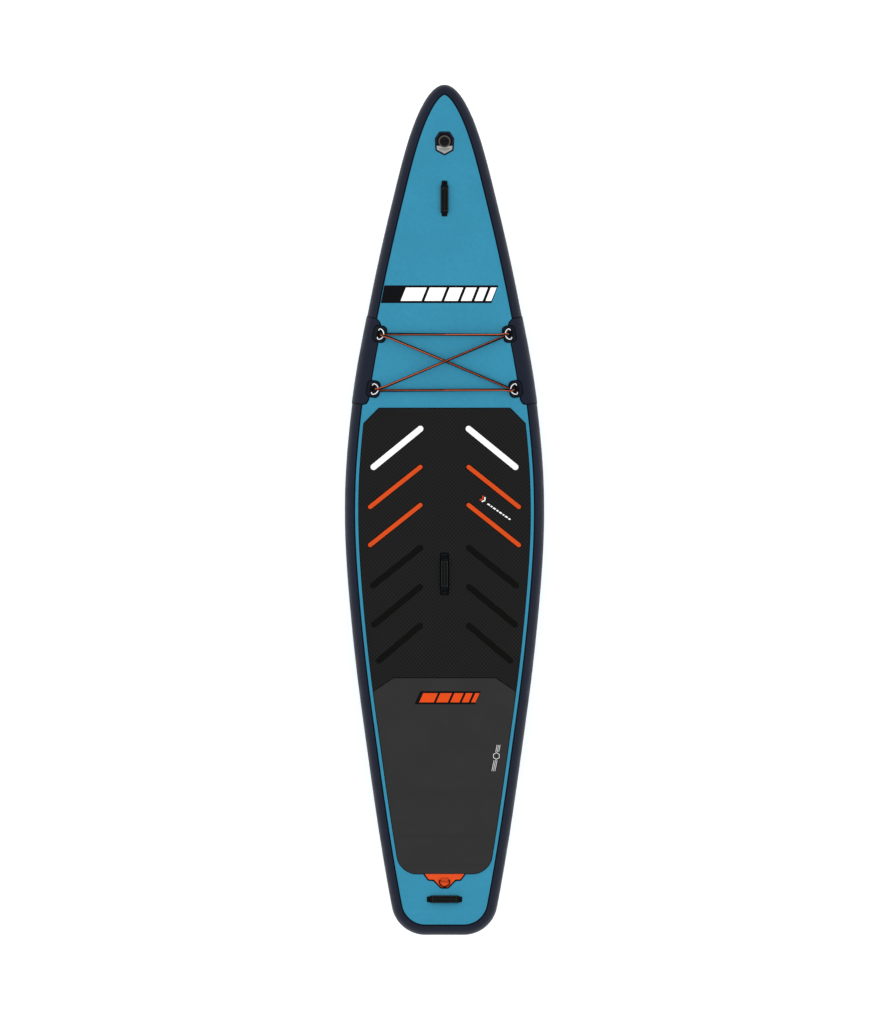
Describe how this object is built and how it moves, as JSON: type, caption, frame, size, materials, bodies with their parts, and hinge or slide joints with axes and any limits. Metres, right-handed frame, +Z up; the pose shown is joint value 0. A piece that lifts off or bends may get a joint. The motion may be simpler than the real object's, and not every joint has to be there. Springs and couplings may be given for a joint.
{
  "type": "stand up paddleboard",
  "caption": "Inflatable touring stand up paddleboard with traction pads, bungee storage, carry handles, air valve, leash ring and a slide-in fin.",
  "frame": {"origin": "flat stretch of the underside, on the centre line, half way along the board", "axes": "+Z up through the deck, +Y towards the nose, +X to the board's right"},
  "size_m": [0.8212, 3.505, 0.5286],
  "materials": {
    "air_chamber": "matte",
    "yarn": "matte",
    "deck_pvc": "satin",
    "hull_pvc": "satin",
    "rail_pvc": "satin",
    "seam_tape": "satin",
    "pad_front": "matte",
    "pad_tail": "matte",
    "bar_white": "matte",
    "bar_orange": "matte",
    "bar_black": "matte",
    "ring_patch": "satin",
    "ring_steel": "polished",
    "bungee": "matte",
    "leash_pvc": "satin",
    "leash_webbing": "matte",
    "webbing": "matte",
    "grip": "matte",
    "valve_plastic": "satin",
    "valve_dark": "satin",
    "gasket": "matte",
    "label": "satin",
    "fin_plastic": "gloss",
    "brass": "satin"
  },
  "bodies": {
    "board": {"air_chamber": "air_chamber", "drop_stitch_yarns": "yarn", "deck_skin": "deck_pvc", "hull_skin": "hull_pvc", "rail_band_left": "rail_pvc", "rail_band_right": "rail_pvc", "rail_patch_left": "rail_pvc", "rail_patch_right": "rail_pvc", "valve_patch": "rail_pvc", "fin_patch": "rail_pvc", "deck_seam_tape": "seam_tape", "hull_seam_tape": "seam_tape", "front_traction_pad": "pad_front", "tail_traction_pad": "pad_tail", "pad_bar_1_left": "bar_white", "pad_bar_1_right": "bar_white", "pad_bar_2_left": "bar_orange", "pad_bar_2_right": "bar_orange", "pad_bar_3_left": "bar_orange", "pad_bar_3_right": "bar_orange", "pad_bar_4_left": "bar_black", "pad_bar_4_right": "bar_black", "pad_bar_5_left": "bar_black", "pad_bar_5_right": "bar_black", "pad_bar_6_left": "bar_black", "pad_bar_6_right": "bar_black", "bungee_patch_front_left": "ring_patch", "bungee_patch_front_right": "ring_patch", "bungee_patch_rear_right": "ring_patch", "bungee_patch_rear_left": "ring_patch", "nose_handle_base": "ring_patch", "centre_handle_base": "ring_patch", "tail_handle_base": "ring_patch", "valve_spring": "ring_steel", "bungee_cord": "bungee", "leash_patch": "leash_pvc", "leash_tab": "leash_webbing", "nose_handle_webbing": "webbing", "centre_handle_webbing": "webbing", "tail_handle_webbing": "webbing", "valve_body": "valve_plastic", "valve_nut": "valve_plastic", "valve_label": "label", "fin_box": "fin_plastic"},
    "bungee_ring_front_left": {"bungee_ring_front_left": "ring_steel"},
    "bungee_ring_front_right": {"bungee_ring_front_right": "ring_steel"},
    "bungee_ring_rear_left": {"bungee_ring_rear_left": "ring_steel"},
    "bungee_ring_rear_right": {"bungee_ring_rear_right": "ring_steel"},
    "centre_handle_grip": {"centre_handle_grip": "grip"},
    "leash_ring": {"leash_ring": "ring_steel"},
    "nose_handle_grip": {"nose_handle_grip": "grip"},
    "tail_handle_grip": {"tail_handle_grip": "grip"},
    "valve_gasket": {"valve_cap_gasket": "gasket"},
    "valve_cap": {"valve_cap": "valve_dark"},
    "valve_stem": {"valve_stem": "valve_dark"},
    "fin": {"centre_fin": "fin_plastic", "fin_pin": "brass", "fin_nut_plate": "brass"},
    "fin_screw": {"fin_screw": "ring_steel"}
  },
  "joints": [
    {"name": "bungee_ring_front_left_tilt", "type": "hinge", "parent": "board", "child": "bungee_ring_front_left", "pos_m": [-0.27308, 0.72546, 0.16214], "axis": [-0.1936, -0.9802, -0.0425], "range_deg": [0, 40], "deforming": ["bungee_cord"]},
    {"name": "bungee_ring_front_right_tilt", "type": "hinge", "parent": "board", "child": "bungee_ring_front_right", "pos_m": [0.27308, 0.72546, 0.16214], "axis": [-0.1936, 0.9802, 0.0425], "range_deg": [0, 40], "deforming": ["bungee_cord"]},
    {"name": "bungee_ring_rear_right_tilt", "type": "hinge", "parent": "board", "child": "bungee_ring_rear_right", "pos_m": [0.29814, 0.49847, 0.15841], "axis": [-0.142, 0.9898, 0.0057], "range_deg": [0, 40], "deforming": ["bungee_cord"]},
    {"name": "bungee_ring_rear_left_tilt", "type": "hinge", "parent": "board", "child": "bungee_ring_rear_left", "pos_m": [-0.29814, 0.49847, 0.15841], "axis": [-0.142, -0.9898, -0.0057], "range_deg": [0, 40], "deforming": ["bungee_cord"]},
    {"name": "leash_ring_tilt", "type": "hinge", "parent": "board", "child": "leash_ring", "pos_m": [0, -1.52625, 0.1686], "axis": [-1, 0, 0], "range_deg": [0, 150]},
    {"name": "nose_handle_lift", "type": "slide", "parent": "board", "child": "nose_handle_grip", "axis": [0, -0.1609, 0.987], "range_m": [0, 0.018], "deforming": ["nose_handle_webbing"]},
    {"name": "centre_handle_lift", "type": "slide", "parent": "board", "child": "centre_handle_grip", "axis": [0, 0, 1], "range_m": [0, 0.018], "deforming": ["centre_handle_webbing"]},
    {"name": "tail_handle_lift", "type": "slide", "parent": "board", "child": "tail_handle_grip", "axis": [0, 0.0509, 0.9987], "range_m": [0, 0.018], "deforming": ["tail_handle_webbing"]},
    {"name": "valve_cap_lift", "type": "slide", "parent": "board", "child": "valve_gasket", "axis": [0, -0.2149, 0.9766], "range_m": [0, 0.035]},
    {"name": "valve_cap_turn", "type": "hinge", "parent": "valve_gasket", "child": "valve_cap", "pos_m": [0, 1.5196, 0.25697], "axis": [0, -0.2149, 0.9766], "range_deg": [0, 90]},
    {"name": "valve_stem_press", "type": "slide", "parent": "board", "child": "valve_stem", "axis": [0, -0.2149, 0.9766], "range_m": [-0.006, 0], "stiffness_N_per_m": 400, "springref_m": 0.002, "deforming": ["valve_spring"]},
    {"name": "fin_slide", "type": "slide", "parent": "board", "child": "fin", "axis": [0, 0.9997, -0.0264], "range_m": [-0.02, 0.075]},
    {"name": "fin_screw_turn", "type": "hinge", "parent": "fin", "child": "fin_screw", "pos_m": [0, -1.25686, -0.0286], "axis": [0, -0.0264, -0.9997], "continuous": true}
  ]
}
